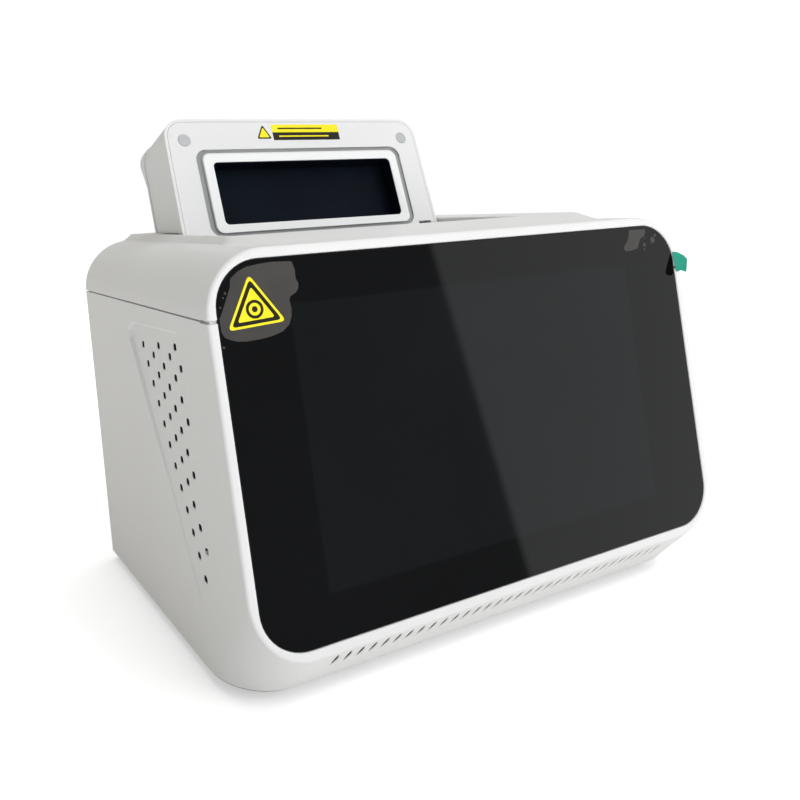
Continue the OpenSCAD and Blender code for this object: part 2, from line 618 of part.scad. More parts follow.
module hot_plate() {
  color("#15171a") on_lid() difference() {
    translate([block_x + 0.2, 0, 30]) rotate([90, 0, 0]) union() {
      translate([0, 0, -12]) rbox(125.4, 39.4, 7, 2.8);
      translate([0, 0, -16]) rbox(118, 34, 4.1, 2);
    }
    under_lid(4, 0.75);
  }
}
module hot_plate_guides() {
  color("silver") on_lid() translate([block_x + 0.2, 0, 30]) rotate([90, 0, 0]) for (i = [-1, 1]) union() {
    translate([i * 64 - 9, -8, -26.4]) cube([18, 20, 2]);
    translate([i * 64, 2, -24.5]) cylinder(r = 4, h = 6);
  }
}
module hot_plate_springs() {
  // shown at their compressed length, so that the plate can travel
  color("silver") on_lid() translate([block_x + 0.2, 0, 32]) rotate([90, 0, 0]) for (i = [-40, 0, 40]) translate([i, 0, -25.9])
    for (k = [0:3]) translate([0, 0, 0.9 + k * 1.55]) rotate_extrude() translate([4.6, 0]) circle(0.8, $fn = 16);
}
module lid_heater_board() {
  color("darkgreen") on_lid() translate([block_x + 0.2, 0, 43]) rotate([90, 0, 0]) union() {
    translate([0, 0, -28]) rbox(146, 40, 1.6, 2);
    translate([-40, 4, -32]) rbox(20, 14, 4.1, 1);
    translate([35, -4, -34]) rbox(26, 10, 6.1, 1);
  }
}
module lid_pads() {
  color("darkgray") on_lid() for (i = [-1, 1]) translate([block_x + i * 77.9, face_y + 0.9, 65.2]) rotate([90, 0, 0]) cylinder(r = 3.7, h = 1.1);
}
module lid_hinge_arms() {
  color("dimgray") on_lid() for (i = [-1, 1]) translate([block_x + i * hinge_x, 0, 0]) difference() {
    union() {
      rotate([0, 90, 0]) cylinder(r = 4.4, h = 3.2, center = true);
      translate([-1.6, -1.6, 0]) cube([3.2, 6, 24]);
      translate([-1.6, -1.6, 18]) cube([3.2, 18, 6]);
      translate([-6, -1.6, 18]) cube([12, 2.2, 12]);
    }
    rotate([0, 90, 0]) cylinder(r = pin_r + 0.05, h = 20, center = true);
  }
}
module lid_screws() {
  // four pan-head screws through the rear cover into the shell
  color("silver") on_lid() for (i = [-1, 1], z = lid_screw_z) translate([block_x + i * 80, 44.4, z]) rotate([90, 0, 0]) difference() {
    union() { cylinder(r = 1.5, h = 17); cylinder(r = 3, h = 1.55); }
    translate([0, 0, -1]) cylinder(r = 1.2, h = 2, $fn = 6);
  }
}

top_cover();
lower_case();
base_plate();
rear_panel();
touch_glass();
glass_gasket();
display_module();
display_bracket();
control_board();
driver_board();
power_supply();
sample_block();
block_gasket();
peltier_modules();
heat_sink();
heat_sink_bracket();
air_duct();
fan_frame();
fan_guard();
fan_rotor();
power_inlet();
switch_frame();
power_rocker();
usb_port();
lan_port();
rubber_feet();
base_screws();
rear_screws();
hinge_brackets();
hinge_pin();
recess_magnets();
lid_shell();
lid_rear_cover();
lid_face_plate();
window_frame();
plate_liner();
hot_plate();
hot_plate_guides();
hot_plate_springs();
lid_heater_board();
lid_pads();
lid_hinge_arms();
lid_screws();
display_screws();
cover_screws();
guard_screws();
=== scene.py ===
import math

import bpy
import bmesh
from mathutils import Matrix, Vector


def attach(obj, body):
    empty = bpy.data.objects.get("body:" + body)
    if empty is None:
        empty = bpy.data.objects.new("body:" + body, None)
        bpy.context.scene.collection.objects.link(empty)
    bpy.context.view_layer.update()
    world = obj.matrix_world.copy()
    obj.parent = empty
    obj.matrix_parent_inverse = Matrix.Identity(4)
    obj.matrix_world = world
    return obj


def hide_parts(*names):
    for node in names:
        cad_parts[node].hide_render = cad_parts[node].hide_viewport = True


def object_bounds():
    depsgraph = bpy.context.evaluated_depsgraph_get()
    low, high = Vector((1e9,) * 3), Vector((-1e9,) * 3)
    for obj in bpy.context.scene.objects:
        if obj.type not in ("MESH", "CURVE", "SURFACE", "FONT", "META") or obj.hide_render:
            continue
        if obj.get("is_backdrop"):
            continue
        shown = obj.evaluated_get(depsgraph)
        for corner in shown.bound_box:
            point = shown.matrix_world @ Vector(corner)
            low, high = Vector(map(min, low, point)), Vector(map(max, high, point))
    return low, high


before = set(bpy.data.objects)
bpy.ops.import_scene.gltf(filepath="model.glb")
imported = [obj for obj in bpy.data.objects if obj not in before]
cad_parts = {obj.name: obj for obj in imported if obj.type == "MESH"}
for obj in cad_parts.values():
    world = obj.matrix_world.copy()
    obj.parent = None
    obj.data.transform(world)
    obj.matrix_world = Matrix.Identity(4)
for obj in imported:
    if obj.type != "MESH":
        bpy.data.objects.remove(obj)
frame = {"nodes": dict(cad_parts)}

BOUNDS_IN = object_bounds()

# ------------------------------------------------------------------ sizes, mm
HW = 152.15
HALF_D = 129.35
TOP = 220.0
SEAM = 188.95
WALL = 3.0
TOP_R = 31.0
LOW_R = 29.0
TILT = math.radians(10.2)
ST, CT = math.sin(TILT), math.cos(TILT)
PY, PZ = -112.45, 126.45
CHIN = (-HALF_D + 32.65) / math.sqrt(2)
BX = -23.6
HY, HZ = 36.0, 217.0
LEAN = math.radians(20.3)
SL, CL = math.sin(LEAN), math.cos(LEAN)
R2 = math.sqrt(0.5)


def V(*a):
    return Vector(a)


def on_panel(u, v, n=0.0):
    """u right, v up the screen, n out of the screen."""
    return V(u, PY + v * ST - n * CT, PZ + v * CT + n * ST)


def on_chin(x, d, n=0.0):
    """d down the chin from its top edge, n out of the chin."""
    return V(x, -HALF_D + d * R2 - n * R2, 32.65 - d * R2 - n * R2)


def on_lid(x, y, z):
    return V(x, HY + y * CL + z * SL, HZ - y * SL + z * CL)


# ------------------------------------------------------------------ mesh tools
def make(name, verts, faces, merge=0.002, smooth=math.radians(28)):
    me = bpy.data.meshes.new(name)
    me.from_pydata([tuple(v) for v in verts], [], [tuple(f) for f in faces])
    ob = bpy.data.objects.new(name, me)
    bpy.context.scene.collection.objects.link(ob)
    bm = bmesh.new()
    bm.from_mesh(me)
    if merge:
        bmesh.ops.remove_doubles(bm, verts=bm.verts, dist=merge)
        bmesh.ops.dissolve_degenerate(bm, edges=bm.edges, dist=1e-5)
    bmesh.ops.recalc_face_normals(bm, faces=bm.faces)
    bm.to_mesh(me)
    bm.free()
    return ob


def ring_loft(name, rings, merge=0.0):
    n = len(rings[0])
    verts = [p for r in rings for p in r]
    faces = []
    for k in range(len(rings) - 1):
        for i in range(n):
            j = (i + 1) % n
            faces.append((k * n + i, k * n + j, (k + 1) * n + j, (k + 1) * n + i))
    faces.append(tuple(range(n)))
    faces.append(tuple((len(rings) - 1) * n + i for i in reversed(range(n))))
    return make(name, verts, faces, merge)


def rrect(w, h, r, n=8, cx=0.0, cy=0.0):
    r = max(r, 0.02)
    out = []
    for (sx, sy, a0) in ((1, 1, 0), (-1, 1, 90), (-1, -1, 180), (1, -1, 270)):
        for k in range(n + 1):
            a = math.radians(a0 + 90.0 * k / n)
            out.append((cx + sx * (w / 2 - r) + r * math.cos(a), cy + sy * (h / 2 - r) + r * math.sin(a)))
    return out


def cut(ob, cutter, op="DIFFERENCE"):
    m = ob.modifiers.new("b", "BOOLEAN")
    m.operation = op
    m.solver = "MANIFOLD"
    m.object = cutter
    bpy.context.view_layer.update()
    dg = bpy.context.evaluated_depsgraph_get()
    me = bpy.data.meshes.new_from_object(ob.evaluated_get(dg))
    ob.modifiers.clear()
    old = ob.data
    ob.data = me
    bpy.data.meshes.remove(old)
    cm = cutter.data
    bpy.data.objects.remove(cutter)
    bpy.data.meshes.remove(cm)
    if len(me.polygons) == 0:
        raise RuntimeError("boolean left nothing: " + ob.name)
    return ob


def dup(ob, name):
    o = bpy.data.objects.new(name, ob.data.copy())
    bpy.context.scene.collection.objects.link(o)
    return o


def box(name, x0, y0, z0, x1, y1, z1):
    v = [V(x, y, z) for z in (z0, z1) for (x, y) in ((x0, y0), (x1, y0), (x1, y1), (x0, y1))]
    f = [(0, 3, 2, 1), (4, 5, 6, 7), (0, 1, 5, 4), (1, 2, 6, 5), (2, 3, 7, 6), (3, 0, 4, 7)]
    return make(name, v, f, 0)


def done(ob, mat, sharp=28, bevel=0.0):
    """to metres, smooth with sharp edges, material"""
    ob.data.transform(Matrix.Scale(0.001, 4))
    if bevel:
        add_bevel(ob, bevel)
    for p in ob.data.polygons:
        p.use_smooth = True
    ob.data.set_sharp_from_angle(angle=math.radians(sharp))
    ob.data.materials.clear()
    ob.data.materials.append(mat)
    return ob


def add_bevel(ob, width_mm, seg=2, angle=32, weld=True):
    if weld:
        w = ob.modifiers.new("weld", "WELD")
        w.merge_threshold = 0.00002
    b = ob.modifiers.new("bevel", "BEVEL")
    b.width = width_mm * 0.001
    b.segments = seg
    b.limit_method = "ANGLE"
    b.angle_limit = math.radians(angle)
    b.use_clamp_overlap = True
    b.harden_normals = False
    b.miter_outer = "MITER_ARC"
    return b


# ------------------------------------------------------------------ case form
def smin(a, b, k):
    h = max(k - abs(a - b), 0.0) / k
    return min(a, b) - h * h * k * 0.25


def smax(a, b, k):
    return -smin(-a, -b, k)


def platform_z(x, y):
    p = 224.3
    for q in (219.35 + 0.1238 * (y + 95.4),
              224.3 + 0.66 * (119.0 - x),
              224.3 + 0.934 * (x + 119.2),
              224.3 + 1.5 * (126.0 - y),
              # the slanting front corners
              219.35 + 0.48 * ((97.0 - x) * 0.825 + (y + 95.4) * 0.566),
              219.35 + 0.48 * ((x + 97.0) * 0.79 + (y + 95.4) * 0.613)):
        p = smin(p, q, 0.6)
    return p


def outline(t):
    """the front outline, inset by t: (kind, front point, direction back)"""
    hw = HW - t
    yback = V(0, 1, 0)
    d45 = V(0, R2, -R2)
    out = []

    def low_pt(x, q):
        v = (-math.sqrt(2) * q - (PY + PZ) - t * (CT - ST)) / (ST + CT)
        return on_panel(x, v, -t)

    def up_pt(x, z):
        v = (z - PZ + t * ST) / CT
        return on_panel(x, v, -t)

    xs = HW - LOW_R
    rl = LOW_R - t
    ql = -CHIN - LOW_R
    n = 90
    for k in range(n + 1):
        out.append(("low", low_pt(-xs + 2 * xs * k / n, ql + rl), d45))
    for k in range(1, 17):
        a = math.radians(90 - 90 * k / 16)
        out.append(("low", low_pt(xs + rl * math.cos(a), ql + rl * math.sin(a)), d45))
    z_a = low_pt(hw, ql).z
    z_b = TOP - TOP_R
    m = 40
    for k in range(m + 1):
        out.append(("up", up_pt(hw, z_a + (z_b - z_a) * k / m), yback))
    xt = HW - TOP_R
    rt = TOP_R - t
    for k in range(1, 23):
        a = math.radians(90 * k / 22)
        out.append(("up", up_pt(xt + rt * math.cos(a), z_b + rt * math.sin(a)), yback))
    n = 120
    for k in range(1, n + 1):
        out.append(("up", up_pt(xt - 2 * xt * k / n, z_b + rt), yback))
    for k in range(1, 23):
        a = math.radians(90 + 90 * k / 22)
        out.append(("up", up_pt(-xt + rt * math.cos(a), z_b + rt * math.sin(a)), yback))
    for k in range(1, m + 1):
        out.append(("up", up_pt(-hw, z_b + (z_a - z_b) * k / m), yback))
    for k in range(0, 16):
        a = math.radians(90 * k / 16)
        out.append(("low", low_pt(-xs - rl * math.cos(a), ql + rl * math.sin(a)), d45))
    return out


def case_form(name, t, zb, rf, rb, platform=False, J=96):
    ol = outline(t)
    n = len(ol)
    yb = HALF_D - t
    # tangents of the outline at the front
    inward_n = V(0, CT, -ST)
    lines = []
    NF, NB = 5, 3
    for i, (kind, F, D) in enumerate(ol):
        a, b = ol[(i - 1) % n][1], ol[(i + 1) % n][1]
        if (a - F).length < 1e-6:
            a = ol[(i - 2) % n][1]
        if (b - F).length < 1e-6:
            b = ol[(i + 2) % n][1]
        T = (b - a).normalized()
        Oin = inward_n.cross(T).normalized()          # in the panel plane, towards its middle
        if Oin.dot(on_panel(0, 0) - F) < 0:
            Oin = -Oin
        Dp = (D - T * D.dot(T)).normalized()
        pts = []
        start = F.copy()
        if rf:
            c = Oin.dot(Dp)
            phi = math.acos(max(-1, min(1, c)))
            tl = rf / math.tan(phi / 2)
            # centre of the rounding
            bis = (Oin + Dp).normalized()
            C = F + bis * (rf / math.sin(phi / 2))
            P0, P1 = F + Oin * tl, F + Dp * tl
            va, vb = P0 - C, P1 - C
            om = math.acos(max(-1, min(1, va.dot(vb) / (va.length * vb.length))))
            for k in range(NF + 1):
                s = k / NF
                w = (va * math.sin((1 - s) * om) + vb * math.sin(s * om)) / math.sin(om)
                pts.append(C + w)
            start = P1
        else:
            pts.append(F.copy())
        # the long run back
        end = V(F.x, yb - rb, F.z)
        if kind == "low":
            M = F + D * ((F.z - zb) / R2)
            s0 = start + D * 0.0
            k1 = 14
            for k in range(1, k1 + 1):
                s = k / k1
                pts.append(s0 + (M - D * 1.0 - s0) * s if rf else s0 + (M - s0) * s)
            if rf:
                pts.append(M + (V(0, 1, 0) - D) * 0.25)
                M2 = M + V(0, 1, 0) * 1.0
            else:
                pts.append(M.copy())
                M2 = M
            end = V(F.x, yb - rb, zb)
            k2 = J - k1 - 1
            for k in range(k2):
                s = k / (k2 - 1)
                pts.append(M2 + (end - M2) * s)
        else:
            y0 = start.y
            for k in range(1, J + 1):
                s = k / J
                p = V(F.x, y0 + (end.y - y0) * s, start.z + (F.z - start.z) * min(1, s * 8))
                if platform and p.z > 192:
                    p.z = smax(p.z, platform_z(p.x, p.y), 0.7)
                pts.append(p)
        lines.append(pts)
    # rounding at the back edge, towards the middle of the back
    if rb:
        ends = [l[-1] for l in lines]
        for i, l in enumerate(lines):
            a, b = ends[(i - 1) % n], ends[(i + 1) % n]
            if (a - ends[i]).length < 1e-6:
                a = ends[(i - 2) % n]
            if (b - ends[i]).length < 1e-6:
                b = ends[(i + 2) % n]
            T = (b - a).normalized()
            Nn = V(0, 1, 0).cross(T).normalized()
            if Nn.dot(V(0, ends[i].y, 110) - ends[i]) < 0:
                Nn = -Nn
            base = l[-1].copy()
            for k in range(1, NB + 1):
                a_ = math.radians(90 * k / NB)
                l.append(base + V(0, 1, 0) * rb * math.sin(a_) + Nn * rb * (1 - math.cos(a_)))
    L = len(lines[0])
    verts, faces = [], []
    for l in lines:
        assert len(l) == L, (len(l), L)
        verts.extend(l)
    for i in range(n):
        j = (i + 1) % n
        for k in range(L - 1):
            faces.append((i * L + k, j * L + k, j * L + k + 1, i * L + k + 1))
    faces.append(tuple(i * L for i in range(n)))
    faces.append(tuple(i * L + L - 1 for i in reversed(range(n))))
    return make(name, verts, faces, 0.01)


def panel_rings(w, h, r, steps, cx=0.0, cy=-0.2, n=12):
    """rings for a rounded rectangle sunk into the screen plane: steps are (n, grow)"""
    return [[on_panel(u, v, nn) for (u, v) in rrect(w + 2 * g, h + 2 * g, r + g, n, cx, cy)] for (nn, g) in steps]


def quarter(z_top, g_top, z_bot, g_bot, k=4, convex=True):
    """steps of a quarter round between two (height, growth) pairs"""
    out = []
    for i in range(k + 1):
        a = math.radians(90 * i / k)
        if convex:
            out.append((z_bot + (z_top - z_bot) * math.cos(a), g_bot + (g_top - g_bot) * (1 - math.sin(a))))
        else:
            out.append((z_top + (z_bot - z_top) * math.sin(a), g_top + (g_bot - g_top) * (1 - math.cos(a))))
    return out


outer = case_form("outer", 0.0, 6.4, 2.0, 1.2, True)
inner = case_form("inner", WALL, -3.0, 0.0, 0.0, False, 30)

# ------------------------------------------------------------------ upper cover
cover = dup(outer, "cover_skin")
cut(cover, dup(inner, "in1"))
cut(cover, box("low_off", -200, -200, -50, 200, 200, SEAM + 0.45))
for sgn in (-1, 1):          # the joint opens a little where it meets the front rim
    cut(cover, box("rim_a", min(sgn * 141, sgn * 160), -140, SEAM - 2, max(sgn * 141, sgn * 160), -92, SEAM + 0.75))
# inner lip that shows through the joint
lip = case_form("lip", 1.7, -3.0, 0.0, 0.0, False, 30)
cut(lip, dup(inner, "in2"))
cut(lip, box("lo1", -200, -200, -50, 200, 200, SEAM - 2.5))
cut(lip, box("lo2", -200, -200, SEAM + 2.5, 200, 200, 400))
cut(cover, lip, "UNION")
RX, RY, RW, RD = (-116.3 + 69.9) / 2, (-52.45 + 45) / 2, 186.2, 97.45
cut(cover, ring_loft("tub", [[V(x, y, z) for (x, y) in rrect(RW + 6, RD + 6, 9, 10, RX, RY)] for z in (206.5, 219.0)]), "UNION")
steps = [(240.0, 1.3), (225.2, 1.3)] + quarter(224.35, 1.3, 223.0, 0.0, 4, True) + quarter(211.5, 0.0, 209.5, -2.0, 4, False)
cut(cover, ring_loft("rec", [[V(x, y, z) for (x, y) in rrect(RW + 2 * g, RD + 2 * g, 6 + g, 10, RX, RY)] for (z, g) in steps]))
cut(cover, ring_loft("blk", [[V(x, y, z) for (x, y) in rrect(126 + 2 * g, 50 + 2 * g, 4 + g, 8, BX, 6.1)] for (z, g) in ((215, 0.6), (209.5, 0.6), (208.9, 0), (190, 0))]))
glass_steps = [(8.0, 1.0), (0.0, 1.0), (-0.25, 0.62), (-0.65, 0.4), (-14.0, 0.4)]
cut(cover, ring_loft("gl1", panel_rings(293.3, 180, 22.5, glass_steps)))

# ------------------------------------------------------------------ lower case
low = outer
low.name = "case_skin"
cut(low, inner)
cut(low, box("up_off", -200, -200, SEAM - 0.45, 200, 200, 400))
for sgn in (-1, 1):
    cut(low, box("rim_b", min(sgn * 141, sgn * 160), -140, SEAM - 0.95, max(sgn * 141, sgn * 160), -92, SEAM + 2))
cut(low, ring_loft("gl2", panel_rings(293.3, 180, 22.5, glass_steps)))
cut(low, ring_loft("rear", [[V(x, y, z) for (x, z) in rrect(236, 150, 6, 8, 0, 106)] for y in (118, 140)]))


def leaf(x0):
    """one louvre slot in the chin: pointed at both ends, a little curved"""
    rings = []
    N = 14
    for (nn, g) in ((1.0, 0.42), (0.0, 0.42), (-0.45, 0.0), (-9.0, 0.0)):
        pts = []
        for side in (1, -1):
            for k in range(N):
                s = k / N if side > 0 else 1 - k / N
                w = (1.05 + g) * math.sin(math.pi * s) ** 0.75
                if s in (0.0, 1.0):
                    w = 0.0
                cxx = 0.55 * math.cos(math.pi * (s - 0.5) * 1.2) - 0.3
                d = 4.3 - g * 1.4 + (13.6 + 2.8 * g) * s
                pts.append(on_chin(x0 + cxx + side * w, d, nn))
        rings.append(pts)
    return rings


def many(name, list_of_rings):
    verts, faces = [], []
    for rings in list_of_rings:
        n = len(rings[0])
        o = len(verts)
        for r in rings:
            verts.extend(r)
        for k in range(len(rings) - 1):
            for i in range(n):
                j = (i + 1) % n
                faces.append((o + k * n + i, o + k * n + j, o + (k + 1) * n + j, o + (k + 1) * n + i))
        faces.append(tuple(o + i for i in range(n)))
        faces.append(tuple(o + (len(rings) - 1) * n + i for i in reversed(range(n))))
    return make(name, verts, faces, 0)


slot_x0 = -1 - 31 * 7 / 2
cut(low, many("slots", [leaf(slot_x0 + 7 * i) for i in range(32)]))

# the wedge-shaped vent field on each side, deepest at its rear edge
OUT = [(-56, 179), (21.5, 176.95), (26.5, 175.6), (29.2, 172.6), (29.4, 168.3), (7.15, 136.55), (-28.85, 88.75), (-58.5, 44.5),
       (-61.5, 42.3), (-64.5, 43), (-68, 125.15), (-64, 149.35)]


def inset_poly(poly, d):
    n = len(poly)
    area = sum(poly[i][0] * poly[(i + 1) % n][1] - poly[(i + 1) % n][0] * poly[i][1] for i in range(n))
    sgn = 1 if area > 0 else -1
    out = []
    for i in range(n):
        p0, p1, p2 = Vector(poly[i - 1]), Vector(poly[i]), Vector(poly[(i + 1) % n])
        e1, e2 = (p1 - p0).normalized(), (p2 - p1).normalized()
        n1, n2 = Vector((-e1.y, e1.x)) * sgn, Vector((-e2.y, e2.x)) * sgn
        b = (n1 + n2)
        b = b / max(0.35, b.dot(n1))
        out.append(tuple(p1 + b * d))
    return out


def wedge_depth(y):
    return max(-0.6, 1.7 * (y + 67.0) / 92.0)


for sgn in (-1, 1):
    rings = []
    outer_p = inset_poly(OUT, -1.2)
    for (poly, mode) in ((outer_p, "far"), (outer_p, "edge"), (OUT, "floor")):
        ring = []
        for (y, z) in poly:
            if mode == "far":
                xx = HW + 6
            elif mode == "edge":
                xx = HW + 0.05 if wedge_depth(y) > 0.02 else HW + 0.35
            else:
                xx = HW - wedge_depth(y)
            ring.append(V(sgn * xx, y, z))
        rings.append(ring)
    cut(low, ring_loft("wedge", rings))
rows = [(8.35, 166.55, 12), (-10.95, 163.05, 10), (-21.85, 169.35, 7), (-40.95, 166.05, 4), (-51.05, 172.15, 2)]
for sgn in (-1, 1):
    hs = []
    for (y0, z0, cnt) in rows:
        for k in range(cnt):
            y, z = y0 - 7.05 * k, z0 - 9.9 * k
            d = wedge_depth(y)
            rr_ = []
            for (xx, g) in ((HW - d + 2.5, 0.5), (HW - d, 0.5), (HW - d - 0.4, 0.0), (HW - 9, 0.0)):
                rr_.append([V(sgn * xx, a, b) for (a, b) in rrect(4.9 + 2 * g, 3.5 + 2 * g, 1.1 + g, 3, y, z)])
            hs.append(rr_)
    cut(low, many("holes", hs))


# ------------------------------------------------------------------ materials
def mat(name):
    m = bpy.data.materials.new(name)
    m.use_nodes = True
    nt = m.node_tree
    for n in list(nt.nodes):
        nt.nodes.remove(n)
    out = nt.nodes.new("ShaderNodeOutputMaterial")
    b = nt.nodes.new("ShaderNodeBsdfPrincipled")
    nt.links.new(b.outputs[0], out.inputs[0])
    tc = nt.nodes.new("ShaderNodeTexCoord")
    return m, nt, b, tc


def noise(nt, tc, scale, detail=3.0, rough=0.55, stretch=None):
    n = nt.nodes.new("ShaderNodeTexNoise")
    n.inputs["Scale"].default_value = scale
    n.inputs["Detail"].default_value = detail
    n.inputs["Roughness"].default_value = rough
    if stretch:
        mp = nt.nodes.new("ShaderNodeMapping")
        mp.inputs["Scale"].default_value = stretch
        nt.links.new(tc.outputs["Object"], mp.inputs["Vector"])
        nt.links.new(mp.outputs["Vector"], n.inputs["Vector"])
    else:
        nt.links.new(tc.outputs["Object"], n.inputs["Vector"])
    return n


def ramp(nt, src, c0, c1, p0=0.3, p1=0.7):
    r = nt.nodes.new("ShaderNodeValToRGB")
    r.color_ramp.elements[0].position = p0
    r.color_ramp.elements[1].position = p1
    r.color_ramp.elements[0].color = (*c0, 1)
    r.color_ramp.elements[1].color = (*c1, 1)
    nt.links.new(src, r.inputs[0])
    return r


def rng(nt, src, lo, hi):
    r = nt.nodes.new("ShaderNodeMapRange")
    r.inputs["To Min"].default_value = lo
    r.inputs["To Max"].default_value = hi
    nt.links.new(src, r.inputs["Value"])
    return r


def surface(name, c0, c1, rough=(0.4, 0.5), metal=0.0, bump=0.15, fine=1800.0, coarse=14.0, spec=0.5, coat=0.0, stretch=None, dist=0.0001):
    m, nt, b, tc = mat(name)
    n1 = noise(nt, tc, coarse, 4.0)
    n2 = noise(nt, tc, fine, 2.0, 0.5, stretch)
    r = ramp(nt, n1.outputs[0], c0, c1)
    nt.links.new(r.outputs[0], b.inputs["Base Color"])
    rr_ = rng(nt, n2.outputs[0] if stretch else n1.outputs[0], rough[0], rough[1])
    nt.links.new(rr_.outputs[0], b.inputs["Roughness"])
    b.inputs["Metallic"].default_value = metal
    b.inputs["Specular IOR Level"].default_value = spec
    b.inputs["Coat Weight"].default_value = coat
    bp = nt.nodes.new("ShaderNodeBump")
    bp.inputs["Strength"].default_value = bump
    bp.inputs["Distance"].default_value = dist
    nt.links.new(n2.outputs[0], bp.inputs["Height"])
    nt.links.new(bp.outputs[0], b.inputs["Normal"])
    return m


WHITE = surface("white_plastic", (0.715, 0.72, 0.715), (0.745, 0.75, 0.745), (0.36, 0.46), bump=0.12, fine=2600.0, coarse=9.0)
BRIGHT = surface("bright_plastic", (0.80, 0.81, 0.81), (0.84, 0.845, 0.845), (0.30, 0.38), bump=0.06, fine=2200.0, coarse=12.0)
PAD = surface("pad_grey", (0.42, 0.44, 0.45), (0.50, 0.52, 0.53), (0.6, 0.75), bump=0.3, fine=3000.0, coarse=60.0)
RUBBER = surface("rubber_black", (0.012, 0.012, 0.012), (0.022, 0.022, 0.022), (0.65, 0.8), bump=0.3, fine=2500.0, coarse=40.0)
# black plastic for the fan, switch and inlet; the lower case also uses it as painted shade on the walls inside its
# side holes and chin slots
BLACK_AND_SHADE = surface("black_plastic", (0.010, 0.010, 0.011), (0.018, 0.018, 0.019), (0.42, 0.55), bump=0.2, fine=2000.0, coarse=30.0)
ANOD = surface("dark_anodised", (0.0025, 0.0045, 0.009), (0.004, 0.0075, 0.014), (0.42, 0.55), metal=0.0, bump=0.25, fine=2400.0, coarse=25.0, spec=0.12)
BLOCK = surface("block_metal", (0.62, 0.63, 0.64), (0.72, 0.73, 0.74), (0.28, 0.42), metal=1.0, bump=0.15, fine=900.0, coarse=30.0, stretch=(1.0, 30.0, 30.0))
SHEET = surface("sheet_metal", (0.55, 0.55, 0.56), (0.66, 0.66, 0.67), (0.3, 0.45), metal=1.0, bump=0.12, fine=700.0, coarse=22.0, stretch=(1.0, 20.0, 20.0))
BASE = surface("base_paint", (0.10, 0.105, 0.11), (0.13, 0.135, 0.14), (0.5, 0.65), bump=0.4, fine=1600.0, coarse=20.0)
STEEL = surface("bright_steel", (0.60, 0.60, 0.61), (0.72, 0.72, 0.73), (0.16, 0.3), metal=1.0, bump=0.08, fine=1500.0, coarse=50.0)
PCB = surface("circuit_board", (0.01, 0.10, 0.04), (0.02, 0.16, 0.06), (0.3, 0.5), bump=0.5, fine=500.0, coarse=90.0)
CERAM = surface("ceramic", (0.78, 0.78, 0.75), (0.84, 0.84, 0.82), (0.5, 0.65), bump=0.2, fine=1800.0, coarse=30.0)
YELLOW = surface("label_yellow", (0.86, 0.72, 0.0), (0.92, 0.80, 0.01), (0.35, 0.5), bump=0.08, fine=1500.0, coarse=80.0)
INK = surface("label_black", (0.012, 0.010, 0.006), (0.022, 0.018, 0.010), (0.35, 0.5), bump=0.08, fine=1500.0, coarse=80.0)
FILM = surface("film_grey", (0.046, 0.044, 0.041), (0.058, 0.055, 0.051), (0.3, 0.42), bump=0.1, fine=900.0, coarse=70.0)
DARK = surface("tab_black", (0.0008, 0.0008, 0.0009), (0.0013, 0.0013, 0.0014), (0.6, 0.7), bump=0.05, fine=1500.0, coarse=80.0, spec=0.05)
TAB = surface("tab_green", (0.0, 0.22, 0.15), (0.0, 0.30, 0.20), (0.3, 0.45), bump=0.1, fine=900.0, coarse=120.0)


def glass_material():
    """black printed cover glass: a lit area a little lighter than the printed border"""
    m, nt, b, tc = mat("cover_glass")
    sep = nt.nodes.new("ShaderNodeSeparateXYZ")
    nt.links.new(tc.outputs["Object"], sep.inputs[0])

    def mth(op, a, bv):
        n = nt.nodes.new("ShaderNodeMath")
        n.operation = op
        for i, q in enumerate((a, bv)):
            if isinstance(q, (int, float)):
                n.inputs[i].default_value = q
            else:
                nt.links.new(q, n.inputs[i])
        return n.outputs[0]
    dx = mth("SUBTRACT", mth("ABSOLUTE", mth("ADD", sep.outputs[0], 0.00306), 0), 0.1085)
    dz = mth("SUBTRACT", mth("ABSOLUTE", mth("SUBTRACT", sep.outputs[2], 0.12645), 0), 0.0678 * CT)
    d = mth("MAXIMUM", dx, dz)
    inside = nt.nodes.new("ShaderNodeMapRange")
    inside.inputs["From Min"].default_value = 0.0006
    inside.inputs["From Max"].default_value = -0.0006
    nt.links.new(d, inside.inputs["Value"])
    n1 = noise(nt, tc, 12.0, 3.0)
    r1 = ramp(nt, n1.outputs[0], (0.0022, 0.0024, 0.0028), (0.0034, 0.0036, 0.0042))
    r2 = ramp(nt, n1.outputs[0], (0.0042, 0.0052, 0.0058), (0.0056, 0.0068, 0.0074))
    mix = nt.nodes.new("ShaderNodeMix")
    mix.data_type = "RGBA"
    nt.links.new(inside.outputs[0], mix.inputs[0])
    nt.links.new(r1.outputs[0], mix.inputs[6])
    nt.links.new(r2.outputs[0], mix.inputs[7])
    nt.links.new(mix.outputs[2], b.inputs["Base Color"])
    rr_ = rng(nt, n1.outputs[0], 0.015, 0.04)
    nt.links.new(rr_.outputs[0], b.inputs["Roughness"])
    b.inputs["IOR"].default_value = 1.5
    return m


GLASS = glass_material()
# painted shade for the bottom of the groove ring around the lid window
GROOVE = surface("groove_shadow", (0.28, 0.285, 0.29), (0.33, 0.335, 0.34), (0.5, 0.6), bump=0.1, fine=2600.0, coarse=30.0)

for o in (cover, low):
    done(o, WHITE, 24)
# painted shade: the walls inside the side vent holes and the chin slots get the black material instead of the white
# plastic, standing in for the shade inside the openings
low.data.materials.append(BLACK_AND_SHADE)
for p in low.data.polygons:
    c = p.center * 1000.0
    side_hole_shade = 148.0 < abs(c.x) < HW - max(0.0, wedge_depth(c.y)) - 0.38 and -72 < c.y < 32 and 40 < c.z < 181
    n_in = -((c.y + HALF_D) + (c.z - 32.65)) / math.sqrt(2)
    chin_slot_shade = -3.2 < n_in < -0.46 and abs(c.x) < 114 and c.z < 32 and c.y < -100
    if side_hole_shade or chin_slot_shade:
        p.material_index = 1
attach(cover, "case"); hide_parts("top_cover")
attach(low, "case"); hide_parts("lower_case")


